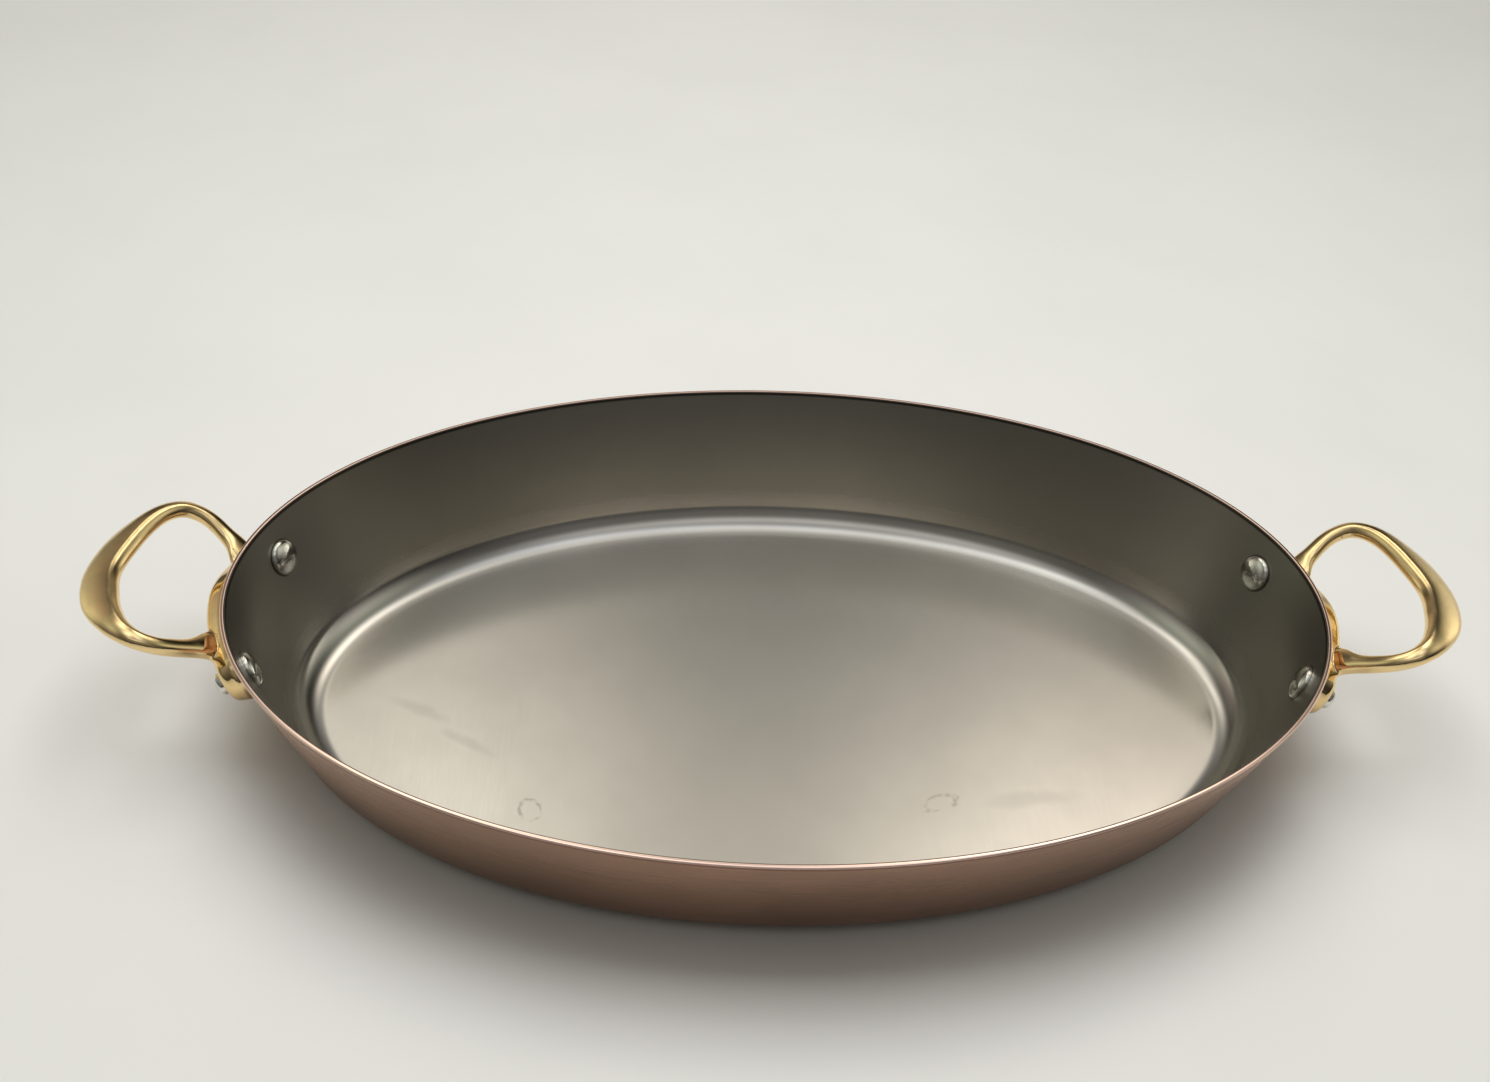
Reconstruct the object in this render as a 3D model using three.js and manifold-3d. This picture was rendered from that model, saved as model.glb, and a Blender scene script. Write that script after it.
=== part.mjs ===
// Oval copper gratin pan with a bonded steel lining, two cast bronze loop handles
// and four steel rivets. Millimetres, +Z up, +X through the handles. The origin is
// on the table, under the middle of the floor.

import * as THREE from "three";
import { mergeVertices } from "three/addons/utils/BufferGeometryUtils.js";
import Module from "manifold-3d";

const wasm = await Module();
wasm.setup();

// The pan.
const rimLength = 350;
const rimWidth = 230;
const panHeight = 50;
// How far the outside of the wall leans in between the rim and the floor.
const wallLean = 18;
// Outer radius of the bend between the wall and the floor.
const cornerRadius = 18;
const copperThickness = 1.25;
// The lining is rolled onto the copper. This is the line between the two metals.
const bondGap = 0.05;
const liningThickness = 0.2;
// The polished edge of the rim is eased on both sides, and the lining stops below it.
const rimRound = 0.35;
const liningSetback = 0.3;

// Clearances.
const seatGap = 0.3;
const holeGap = 0.3;

// The rivets, two to a handle.
const rivetSpacing = 60.4;
const rivetBelowRim = 13.2;
const shankDiameter = 5;
const innerHeadDiameter = 11.6;
const innerHeadHeight = 2.8;
const outerHeadDiameter = 7.2;
const outerHeadHeight = 2.8;
// The upright edge of a head as a share of its height.
const innerHeadEdge = 0.2;
const outerHeadEdge = 0.45;

// The plate of a handle, which lies against the wall under the rim.
const plateThickness = 6.8;
const earRadius = 8.2;
const plateBelowRim = 9.8;
const plateHalfWidth = 7.4;
// The plate's outer face as a share of its outline, along the band and at the ears.
const bandFace = 0.9;
const earFace = 0.66;
// The taper begins at a share of the plate's thickness, and it has a second, flatter
// step near the face, where the edge is rounded.
const taperFrom = 0.35;
const taperBreak = { thickness: 0.88, taper: 0.6 };

// The loop of a handle, along the middle of the bar.
// A leg's root, inwards from the rivet along the rim, and in the plate's thickness.
const rootFromRivet = 9.2;
const rootBelowRim = 10.8;
const rootDepth = 2;
const loopReach = 37;
const loopHalfSpread = 32;
const loopRise = 4.3;
const legWidth = 5.2;
const gripWidth = 12;
const gripHeight = 6.6;
// From where to where the legs turn into the grip, as a share of the way to the tip.
const gripFrom = 0.34;
const gripFull = 0.86;
// The root of a leg swells into the plate, most of all inside the loop.
const filletInside = 8;
const filletOutside = 0.6;
const filletAbove = 0.8;
const filletLength = 1.9;

// How finely the round shapes are cut up.
const ovalSteps = 88;
const cornerSteps = 6;
const rimSteps = 2;
const rivetSteps = 16;
const domeSteps = 3;
const sectionSteps = 16;
const loopSteps = 30;
// Where the fillet of a leg's root gets a ring, as shares of its length.
const filletRings = [0.3, 0.65, 1.1, 1.6, 2.3, 3.2];
const edgeSteps = 10;
const earSteps = 8;

const halfLength = rimLength / 2;
const halfWidth = rimWidth / 2;
const wallThickness = copperThickness + bondGap + liningThickness;

// The wall leans straight up to the shoulder, where the rim's easing begins.
const shoulder = panHeight - rimRound;
const lean = Math.atan2(wallLean, shoulder);
const insetAt = (z) => wallLean * (1 - z / shoulder);

// A point of the rim's ellipse, moved inwards along the ellipse's normal.
function ovalPoint(angle, inset, z) {
  const normal = ovalNormal(angle);
  return new THREE.Vector3(
    halfLength * Math.cos(angle) - normal.x * inset,
    halfWidth * Math.sin(angle) - normal.y * inset,
    z,
  );
}

function ovalNormal(angle) {
  return new THREE.Vector3(
    Math.cos(angle) / halfLength,
    Math.sin(angle) / halfWidth,
    0,
  ).normalize();
}

// The angle of the ellipse that lies a given distance along the rim from the +X end.
function angleAlong(distance) {
  const steps = 64;
  let angle = 0;
  for (let i = 0; i < steps; i++) {
    const speed = Math.hypot(halfLength * Math.sin(angle), halfWidth * Math.cos(angle));
    angle += distance / steps / speed;
  }
  return angle;
}

// The wall's own direction outwards, square to its leaning face.
function wallNormal(angle) {
  const flat = ovalNormal(angle).multiplyScalar(Math.cos(lean));
  return new THREE.Vector3(flat.x, flat.y, -Math.sin(lean));
}

// A point a given distance along the rim, at a height, and outside the wall's face.
function wallPoint(along, z, outside) {
  const angle = angleAlong(along);
  return ovalPoint(angle, insetAt(z), z).addScaledVector(wallNormal(angle), outside);
}

function weld(geometry) {
  const bare = geometry.clone();
  bare.deleteAttribute("normal");
  bare.deleteAttribute("uv");
  const merged = mergeVertices(bare, 1e-4);
  const index = merged.index.array;
  const kept = [];
  for (let i = 0; i < index.length; i += 3) {
    const [a, b, c] = index.slice(i, i + 3);
    if (a !== b && b !== c && c !== a) {
      kept.push(a, b, c);
    }
  }
  merged.setIndex(kept);
  return merged;
}

function toSolid(geometry) {
  const welded = weld(geometry);
  const build = (triangles) =>
    new wasm.Manifold(
      new wasm.Mesh({
        numProp: 3,
        vertProperties: new Float32Array(welded.attributes.position.array),
        triVerts: new Uint32Array(triangles),
      }),
    );
  const triangles = Array.from(welded.index.array);
  const solid = build(triangles);
  return solid.volume() > 0 ? solid : build(triangles.reverse());
}

function toGeometry(solid) {
  const mesh = solid.getMesh();
  const geometry = new THREE.BufferGeometry();
  geometry.setAttribute("position", new THREE.BufferAttribute(mesh.vertProperties, 3));
  geometry.setIndex(new THREE.BufferAttribute(mesh.triVerts, 1));
  geometry.computeVertexNormals();
  return geometry;
}

// A turned shape whose circles are pressed to the pan's oval. The profile holds
// [inset from the rim, height] pairs, and it is closed to the middle at both ends.
function ovalTurned(profile) {
  const first = profile[0];
  const last = profile[profile.length - 1];
  const points = [
    new THREE.Vector2(0, first[1]),
    ...profile.map(([inset, z]) => new THREE.Vector2(halfLength - inset, z)),
    new THREE.Vector2(0, last[1]),
  ];
  const geometry = new THREE.LatheGeometry(points, ovalSteps);
  geometry.rotateX(Math.PI / 2);
  const position = geometry.attributes.position;
  for (let i = 0; i < position.count; i++) {
    const x = position.getX(i);
    const y = position.getY(i);
    const radius = Math.hypot(x, y);
    const inMiddle = radius < 1e-6;
    const z = position.getZ(i);
    const place = inMiddle
      ? new THREE.Vector3(0, 0, z)
      : ovalPoint(Math.atan2(y, x), halfLength - radius, z);
    position.setXYZ(i, place.x, place.y, place.z);
  }
  return toSolid(geometry);
}

// The face of the pan a given depth under its outer face, from the floor up to a height.
function panFace(depth, top) {
  const centreInset = insetAt(cornerRadius) + cornerRadius / Math.cos(lean);
  const radius = cornerRadius - depth;
  const points = [];
  for (let i = 0; i <= cornerSteps; i++) {
    const turn = (Math.PI / 2 - lean) * (i / cornerSteps);
    points.push([
      centreInset - radius * Math.sin(turn),
      cornerRadius - radius * Math.cos(turn),
    ]);
  }
  points.push([insetAt(top) + depth / Math.cos(lean), top]);
  return points;
}

// A quarter round between two faces of an edge, from the first direction to the second.
function edgeRound(centre, radius, from, to) {
  const points = [];
  for (let i = 1; i <= rimSteps; i++) {
    const turn = from + ((to - from) * i) / rimSteps;
    points.push([centre[0] + radius * Math.cos(turn), centre[1] + radius * Math.sin(turn)]);
  }
  return points;
}

function copperShell() {
  const outside = panFace(0, shoulder);
  const inside = panFace(copperThickness, shoulder);
  const outerEdge = outside[outside.length - 1][0];
  const innerEdge = inside[inside.length - 1][0];
  return ovalTurned([
    ...outside,
    ...edgeRound([outerEdge + rimRound, shoulder], rimRound, Math.PI, Math.PI / 2),
    ...edgeRound([innerEdge - rimRound, shoulder], rimRound, Math.PI / 2, 0).slice(0, -1),
    ...inside.reverse(),
  ]);
}

function liningShell() {
  const top = panHeight - liningSetback;
  const outside = panFace(copperThickness + bondGap, top);
  const inside = panFace(wallThickness, top);
  return ovalTurned([...outside, ...inside.reverse()]);
}

// A block with the wall's outer face moved outwards, or inwards where it is negative.
function wallBlock(outside) {
  const low = -panHeight;
  const high = 2 * panHeight;
  const shift = outside / Math.cos(lean);
  return ovalTurned([
    [insetAt(low) - shift, low],
    [insetAt(high) - shift, high],
  ]);
}

// Turns a shape that stands on +Y so that it stands on the wall at a rivet.
function atRivet(geometry, along) {
  const outwards = wallNormal(angleAlong(along));
  const turn = new THREE.Quaternion().setFromUnitVectors(new THREE.Vector3(0, 1, 0), outwards);
  const place = wallPoint(along, panHeight - rivetBelowRim, 0);
  return toSolid(geometry.applyQuaternion(turn).translate(place.x, place.y, place.z));
}

function rod(radius, from, to) {
  const geometry = new THREE.CylinderGeometry(radius, radius, to - from, rivetSteps);
  return geometry.translate(0, (from + to) / 2, 0);
}

// A head with a short upright edge and a low dome, from a base to its top along +Y.
function head(radius, base, edge, top) {
  const points = [new THREE.Vector2(0, base), new THREE.Vector2(radius, base)];
  for (let i = 0; i < domeSteps; i++) {
    const turn = (Math.PI / 2) * (i / domeSteps);
    points.push(
      new THREE.Vector2(radius * Math.cos(turn), edge + (top - edge) * Math.sin(turn)),
    );
  }
  points.push(new THREE.Vector2(0, top));
  return new THREE.LatheGeometry(points, rivetSteps);
}

const innerSeat = -(wallThickness + seatGap);
const outerSeat = seatGap + plateThickness + seatGap;
const outsideOfEar = wallBlock(outerSeat);
const insideOfPan = wallBlock(innerSeat);

function rivet(along) {
  const innerEdge = innerSeat - innerHeadEdge * innerHeadHeight;
  const innerTop = innerSeat - innerHeadHeight;
  const outerEdge = outerSeat + outerHeadEdge * outerHeadHeight;
  const outerTop = outerSeat + outerHeadHeight;
  const innerHead = atRivet(head(innerHeadDiameter / 2, 0, innerEdge, innerTop), along);
  const outerHead = atRivet(head(outerHeadDiameter / 2, 0, outerEdge, outerTop), along);
  const shank = atRivet(
    rod(shankDiameter / 2, innerSeat - innerHeadHeight / 2, outerSeat + outerHeadHeight / 2),
    along,
  );
  return innerHead.intersect(insideOfPan).add(outerHead.subtract(outsideOfEar)).add(shank);
}

function rivetHole(along) {
  const reach = 2 * (wallThickness + plateThickness);
  return atRivet(rod(shankDiameter / 2 + holeGap, -reach, reach), along);
}

// A skin over a row of closed rings with as many points each.
function skin(rings, capped) {
  const count = rings[0].length;
  const positions = rings.flat().flatMap((point) => point.toArray());
  const index = [];
  for (let ring = 0; ring + 1 < rings.length; ring++) {
    for (let i = 0; i < count; i++) {
      const a = ring * count + i;
      const b = ring * count + ((i + 1) % count);
      index.push(a, b, b + count, a, b + count, a + count);
    }
  }
  if (capped) {
    const last = (rings.length - 1) * count;
    for (let i = 1; i + 1 < count; i++) {
      index.push(0, i + 1, i, last, last + i, last + i + 1);
    }
  }
  const geometry = new THREE.BufferGeometry();
  geometry.setAttribute("position", new THREE.Float32BufferAttribute(positions, 3));
  geometry.setIndex(index);
  return toSolid(geometry);
}

const smoothStep = (from, to, value) => THREE.MathUtils.smoothstep(value, from, to);

// The plate's outline as seen from outside, with the point of its spine that each
// outline point belongs to. The spine runs from ear to ear.
function plateOutline() {
  const ear = rivetSpacing / 2;
  const spineAt = (along) => {
    const share = smoothStep(0, ear, Math.abs(along));
    return {
      along,
      face: THREE.MathUtils.lerp(bandFace, earFace, share),
      z: panHeight - THREE.MathUtils.lerp(plateBelowRim, rivetBelowRim, share),
      half: THREE.MathUtils.lerp(plateHalfWidth, earRadius, share),
    };
  };
  const points = [];
  const edge = (side) => {
    for (let i = 0; i <= edgeSteps; i++) {
      const spine = spineAt(side * THREE.MathUtils.lerp(ear, -ear, i / edgeSteps));
      points.push({ spine, along: spine.along, z: spine.z + side * spine.half });
    }
  };
  const end = (side) => {
    const spine = spineAt(side * ear);
    for (let i = 1; i < earSteps; i++) {
      const turn = (Math.PI * i) / earSteps;
      points.push({
        spine,
        along: spine.along + side * earRadius * Math.sin(turn),
        z: spine.z - side * earRadius * Math.cos(turn),
      });
    }
  };
  edge(1);
  end(-1);
  edge(-1);
  end(1);
  return points;
}

// The plate follows the wall. Its sides taper from the outline to its outer face.
function plate() {
  const outline = plateOutline();
  const ring = (taper, outside) =>
    outline.map(({ spine, along, z }) => {
      const share = taper === "spine" ? 0 : THREE.MathUtils.lerp(1, spine.face, taper);
      return wallPoint(
        THREE.MathUtils.lerp(spine.along, along, share),
        THREE.MathUtils.lerp(spine.z, z, share),
        outside,
      );
    });
  const behind = -1;
  const front = (part) => seatGap + plateThickness * part;
  return skin([
    ring("spine", behind),
    ring(0, behind),
    ring(0, front(taperFrom)),
    ring(taperBreak.taper, front(taperBreak.thickness)),
    ring(1, front(1)),
    ring("spine", front(1)),
  ]);
}

// The middle line of the bar, from one root over the tip to the other root.
function loopPath() {
  const rootAlong = rivetSpacing / 2 - rootFromRivet;
  const root = wallPoint(rootAlong, panHeight - rootBelowRim, rootDepth);
  const side = [
    [0.21 * loopReach, 0.91 * loopHalfSpread, -2.8],
    [0.39 * loopReach, loopHalfSpread, 0.26 * loopRise],
    [0.56 * loopReach, 0.975 * loopHalfSpread, 0.84 * loopRise],
    [0.74 * loopReach, 0.8 * loopHalfSpread, loopRise],
    [0.915 * loopReach, 0.45 * loopHalfSpread, 0.77 * loopRise],
  ].map(([x, y, z]) => new THREE.Vector3(halfLength + x, y, panHeight + z));
  const tip = new THREE.Vector3(halfLength + loopReach, 0, panHeight + 0.58 * loopRise);
  const half = [root, ...side];
  const mirrored = half.map((p) => new THREE.Vector3(p.x, -p.y, p.z)).reverse();
  return new THREE.CatmullRomCurve3([...half, tip, ...mirrored], false, "catmullrom", 0.5);
}

// The bar's section in halves of its width and height, first outwards and then up:
// round in the legs, and in the grip a broad sloping face with a ridge inside it.
const roundSection = [-12, 40, 104, 140, 180, 225, 265, 310].map((degrees) => {
  const turn = THREE.MathUtils.degToRad(degrees);
  return new THREE.Vector2(Math.cos(turn), Math.sin(turn));
});
const gripSection = [
  new THREE.Vector2(1, -0.3),
  new THREE.Vector2(0.36, 0.5),
  new THREE.Vector2(-0.5, 0.96),
  new THREE.Vector2(-0.8, 0.74),
  new THREE.Vector2(-1, 0.05),
  new THREE.Vector2(-0.72, -0.72),
  new THREE.Vector2(-0.08, -1),
  new THREE.Vector2(0.66, -0.8),
];

function barSection(gripShare) {
  const corners = roundSection.map((corner, i) => corner.clone().lerp(gripSection[i], gripShare));
  const curve = new THREE.CatmullRomCurve3(
    corners.map((corner) => new THREE.Vector3(corner.x, corner.y, 0)),
    true,
    "centripetal",
  );
  const points = curve.getPoints(sectionSteps);
  return points.slice(0, sectionSteps);
}

// Where the bar gets a ring: close together in the two fillets, and even in between.
function ringPlaces(length, plateFace) {
  const root = [0, plateFace / 2, plateFace];
  for (const share of filletRings) {
    root.push(plateFace + filletLength * share);
  }
  const first = root[root.length - 1];
  const even = [];
  for (let i = 1; i < loopSteps; i++) {
    even.push(THREE.MathUtils.lerp(first, length - first, i / loopSteps));
  }
  return [...root, ...even, ...root.map((place) => length - place).reverse()];
}

// The bent bar, lofted along its middle line.
function loop() {
  const path = loopPath();
  const length = path.getLength();
  const plateFace = plateThickness - rootDepth;
  const up = new THREE.Vector3(0, 0, 1);
  const rings = [];
  for (const place of ringPlaces(length, plateFace)) {
    const share = place / length;
    const centre = path.getPointAt(share);
    const along = path.getTangentAt(share);
    const fromRoot = Math.min(place, length - place);
    const swell = Math.exp(-Math.max(0, fromRoot - plateFace) / filletLength);
    const gripShare = smoothStep(gripFrom, gripFull, 1 - Math.abs(2 * share - 1));
    const halfWide = THREE.MathUtils.lerp(legWidth, gripWidth, gripShare) / 2;
    const halfHigh = THREE.MathUtils.lerp(legWidth, gripHeight, gripShare) / 2;
    const above = up.clone().addScaledVector(along, -up.dot(along)).normalize();
    const outwards = along.clone().cross(above).negate();
    rings.push(
      barSection(gripShare).map(({ x, y }) => {
        const fillet = x < 0 ? filletInside : filletOutside;
        const across = x * (halfWide + swell * fillet);
        const height = y * (halfHigh + swell * filletAbove);
        return centre.clone().addScaledVector(outwards, across).addScaledVector(above, height);
      }),
    );
  }
  return skin(rings, true);
}

const rivetPlaces = { back: rivetSpacing / 2, front: -rivetSpacing / 2 };
const holes = Object.values(rivetPlaces).map(rivetHole);

function drilled(solid) {
  return holes.reduce((rest, hole) => rest.subtract(hole), solid);
}

function drilledAtBothEnds(solid) {
  return holes.reduce((rest, hole) => rest.subtract(hole.rotate([0, 0, 180])), drilled(solid));
}

function handle() {
  return drilled(plate().add(loop()).subtract(wallBlock(seatGap)));
}

const materials = {
  copper: { color: 0xb9826b, roughness: 0.34, metalness: 1 },
  lining: { color: 0xb4b0a8, roughness: 0.38, metalness: 1 },
  bronze: { color: 0xc9a25c, roughness: 0.2, metalness: 1 },
  rivet: { color: 0xb8b8b4, roughness: 0.22, metalness: 1 },
};

function piece(name, solid, material) {
  const mesh = new THREE.Mesh(
    toGeometry(solid),
    new THREE.MeshStandardMaterial(materials[material]),
  );
  mesh.name = name;
  return mesh;
}

// The two ends are alike, and the left one is the right one turned round.
function handleEnd(side) {
  const end = new THREE.Group();
  end.add(piece(`${side}_handle`, handle(), "bronze"));
  for (const [place, along] of Object.entries(rivetPlaces)) {
    const turned = { back: "front", front: "back" };
    const name = side === "right" ? place : turned[place];
    end.add(piece(`${side}_${name}_rivet`, rivet(along), "rivet"));
  }
  end.rotation.z = side === "right" ? 0 : Math.PI;
  return end;
}

const pan = new THREE.Group();
pan.add(piece("copper_body", drilledAtBothEnds(copperShell()), "copper"));
pan.add(piece("steel_lining", drilledAtBothEnds(liningShell()), "lining"));
pan.add(handleEnd("right"));
pan.add(handleEnd("left"));

export default pan;
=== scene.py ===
import math

import bpy
import numpy as np
from bpy.props import FloatProperty, FloatVectorProperty, PointerProperty
from mathutils import Matrix, Vector


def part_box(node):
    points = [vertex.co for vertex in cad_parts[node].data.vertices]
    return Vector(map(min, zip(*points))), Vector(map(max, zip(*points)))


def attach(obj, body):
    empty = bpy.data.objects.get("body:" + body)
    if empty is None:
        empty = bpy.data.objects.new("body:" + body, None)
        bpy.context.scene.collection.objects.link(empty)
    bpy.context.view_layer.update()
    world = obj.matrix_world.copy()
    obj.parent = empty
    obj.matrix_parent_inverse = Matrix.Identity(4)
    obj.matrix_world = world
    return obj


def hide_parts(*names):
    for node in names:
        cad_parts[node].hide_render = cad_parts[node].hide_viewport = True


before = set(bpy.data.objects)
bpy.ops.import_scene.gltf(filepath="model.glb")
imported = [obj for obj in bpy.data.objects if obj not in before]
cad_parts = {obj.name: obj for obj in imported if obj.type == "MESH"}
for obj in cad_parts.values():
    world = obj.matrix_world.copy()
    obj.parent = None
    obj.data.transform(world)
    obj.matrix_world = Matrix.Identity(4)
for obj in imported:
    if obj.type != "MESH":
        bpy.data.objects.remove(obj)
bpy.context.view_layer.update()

# The looks of the oval copper gratin pan, laid out as an add-on. All lengths are in metres.

bl_info = {
    "name": "Copper Gratin Pan",
    "version": (1, 0, 0),
    "blender": (4, 5, 0),
    "location": "3D View > Sidebar > Gratin Pan",
    "description": "Builds an oval copper gratin pan with a steel lining and bronze handles",
    "category": "Object",
}

BODY_LOW, BODY_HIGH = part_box("copper_body")
BODY_SIZE = BODY_HIGH - BODY_LOW
# Pixels across the frame that the camera's focus is given for.
FRAME_WIDTH = 1490


def length(name, description, default, low=0.0, high=1.0):
    """A size in metres that a user may change."""
    return FloatProperty(
        name=name, description=description, default=default, min=low, max=high,
        precision=4, subtype="DISTANCE", unit="LENGTH",
    )


def colour(name, description, default):
    """A base colour that a user may change."""
    return FloatVectorProperty(
        name=name, description=description, default=default, min=0, max=1,
        size=3, subtype="COLOR",
    )


def number(name, description, default, high=1.0):
    """A plain number that a user may change."""
    return FloatProperty(name=name, description=description, default=default, min=0, max=high)


def degrees(name, description, default):
    """An angle, given in degrees, that a user may change."""
    return FloatProperty(
        name=name, description=description, default=math.radians(default),
        subtype="ANGLE", unit="ROTATION",
    )


# Sizes and finishes


class GratinPanSizes(bpy.types.PropertyGroup):
    """Sizes of the copper body and its lining"""

    rim_length: length("Rim length", "Oval rim from end to end", BODY_SIZE.x)
    rim_width: length("Rim width", "Oval rim from side to side", BODY_SIZE.y)
    height: length("Height", "Table to the top of the rim", BODY_SIZE.z)
    wall_lean: length("Wall lean", "How far the wall leans in down to the floor", 0.018)
    corner_radius: length("Corner radius", "Outer bend between wall and floor", 0.013)
    copper: length("Copper", "Thickness of the copper sheet", 0.00125)
    bond: length("Bond line", "Line between the two metals", 0.00005)
    lining: length("Lining", "Thickness of the steel lining", 0.0002)
    rim_round: length("Rim round", "Height of the easing on the rim's two edges", 0.0004)
    rim_bevel: length("Rim bevel", "Width of the easing on the outer edge", 0.00085)
    inner_bevel: length("Inner bevel", "Width of the easing on the inner edge", 0.00025)
    setback: length("Lining setback", "How far the lining stops below the rim", 0.0003)


class GratinHandleSizes(bpy.types.PropertyGroup):
    """Sizes of a handle"""

    rivet_spacing: length("Rivet spacing", "Between a handle's rivets along the rim", 0.0604)
    rivet_drop: length("Rivet drop", "Rivets below the rim", 0.0132)
    seat: length("Seat", "Gap between the plate and the wall", 0.00005)
    plate: length("Plate thickness", "Plate from the wall outwards", 0.0068)
    ear_radius: length("Ear radius", "Round end of the plate at a rivet", 0.0082)
    plate_drop: length("Plate drop", "Middle of the plate below the rim", 0.0098)
    plate_half: length("Plate half width", "Half the plate's width at its middle", 0.0074)
    middle_face: number("Middle face", "Face's share of the plate's width at its middle", 0.96)
    ear_face: number("Ear face", "Face's share of the plate's width at an ear", 0.7)
    root_inset: length("Root inset", "A leg's root inwards from its rivet", 0.0092)
    root_drop: length("Root drop", "A leg's root below the rim", 0.0108)
    root_depth: length("Root depth", "Where a leg starts outside the wall", 0.002)
    reach: length("Reach", "Middle of the bar beyond the rim at the tip", 0.037)
    half_spread: length("Half spread", "Half the loop's spread across the pan", 0.032)
    rise: length("Rise", "Middle of the bar above the rim at its highest", 0.0043)
    dip: length("Dip", "Middle of the bar below the rim near a root", 0.0028)
    leg: length("Leg", "Thickness of a leg", 0.0052)
    grip_width: length("Grip width", "Width of the grip", 0.012)
    grip_height: length("Grip height", "Height of the grip", 0.0066)
    web: length("Web", "Fillet of a leg's root inside the loop", 0.0055)
    web_reach: length("Web reach", "How quickly the fillet dies away", 0.0024)
    web_height: length("Web height", "Fillet of a leg's root above and below", 0.001)
    heel: length("Heel", "Fillet of a leg's root outside the loop", 0.0012)


class GratinRivetSizes(bpy.types.PropertyGroup):
    """Sizes of a rivet"""

    shank: length("Shank", "Diameter of the shank", 0.005)
    hole: length("Hole clearance", "Gap round the shank", 0.0003)
    inner_head: length("Inner head", "Diameter inside the pan", 0.0116)
    inner_height: length("Inner height", "Height inside the pan", 0.0028)
    inner_edge: length("Inner edge", "Height of the inner head's edge", 0.0005)
    outer_head: length("Outer head", "Diameter on the ear", 0.0072)
    outer_height: length("Outer height", "Height on the ear", 0.0028)
    outer_edge: length("Outer edge", "Height of the outer head's edge", 0.0009)


class GratinFinishes(bpy.types.PropertyGroup):
    """Colours and roughness of the metals and the table"""

    copper: colour("Copper", "Brushed copper of the wall", (0.68, 0.415, 0.285))
    rim: colour("Rim", "Polished copper of the rim's edge", (0.98, 0.72, 0.62))
    # Painted shade: a dark red line just below the rim's edge, standing in for the darker flank
    # of the rounded edge.
    under_rim_shade: colour("Under the rim", "Red line below the rim's edge", (0.36, 0.13, 0.08))
    # Painted shade: dark copper low on the wall, standing in for the table's shadow seen in the
    # copper.
    low_wall_shade: colour("Tarnish", "Dark copper low on the wall", (0.14, 0.07, 0.038))
    lining: colour("Lining", "Satin steel of the lining", (0.54, 0.515, 0.48))
    # Painted reflection: a warm tint on the lining's wall, standing in for the dim warm room it
    # reflects.
    wall_reflection_tint: colour("Wall tint", "Warm tint of the lining's wall", (0.55, 0.50, 0.26))
    # Painted shade: dark lines along the lining's lip and round the inner rivet heads.
    seam: colour("Seam", "Line at the lining's lip and round the rivets", (0.03, 0.025, 0.02))
    bronze: colour("Bronze", "Cast bronze of the handles", (0.93, 0.70, 0.36))
    # Painted shade: dark bronze low on the plates, where the rim and the legs shade them.
    dull_and_shaded_plate: colour("Crevice", "Dull bronze low on the plates", (0.45, 0.29, 0.12))
    pit: colour("Pit", "Pits in the bronze", (0.12, 0.07, 0.03))
    rivet: colour("Rivet", "Polished steel of the rivets", (0.78, 0.76, 0.70))
    floor: colour("Table", "Pale table under the pan", (0.80, 0.795, 0.775))
    lining_roughness: number("Lining roughness", "Satin of the lining", 0.18)
    copper_roughness: number("Copper roughness", "Satin of the copper wall", 0.26)


class GratinStageSizes(bpy.types.PropertyGroup):
    """Camera and light"""

    distance: length("Camera distance", "From the camera to its aim", 0.60016, high=10)
    elevation: degrees("Elevation", "Camera above the horizon", 38.28)
    turn: degrees("Turn", "Camera's turn round the pan", -3.6)
    roll: degrees("Roll", "Camera's tilt about its own axis", 3.21)
    focus: FloatProperty(
        name="Focus", description="Focal length in pixels of a frame 1490 wide",
        default=1676.12, subtype="PIXEL",
    )
    aim: FloatVectorProperty(
        name="Aim", description="Point that the camera looks at",
        default=(-0.00879, 0.06205, 0.02), size=3, subtype="TRANSLATION", unit="LENGTH",
    )
    sky: number("Sky", "Strength of the soft light all round", 1.0, 10)
    key: number("Key", "Strength of the soft lamps overhead", 1.15, 10)


# Shapes


def smoothstep(low, high, value):
    """0 below low, 1 above high, and smooth in between."""
    part = np.clip((value - low) / (high - low), 0, 1)
    return part * part * (3 - 2 * part)


def mixed(a, b, part):
    """The value a part of the way from a to b."""
    return a + (b - a) * part


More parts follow.
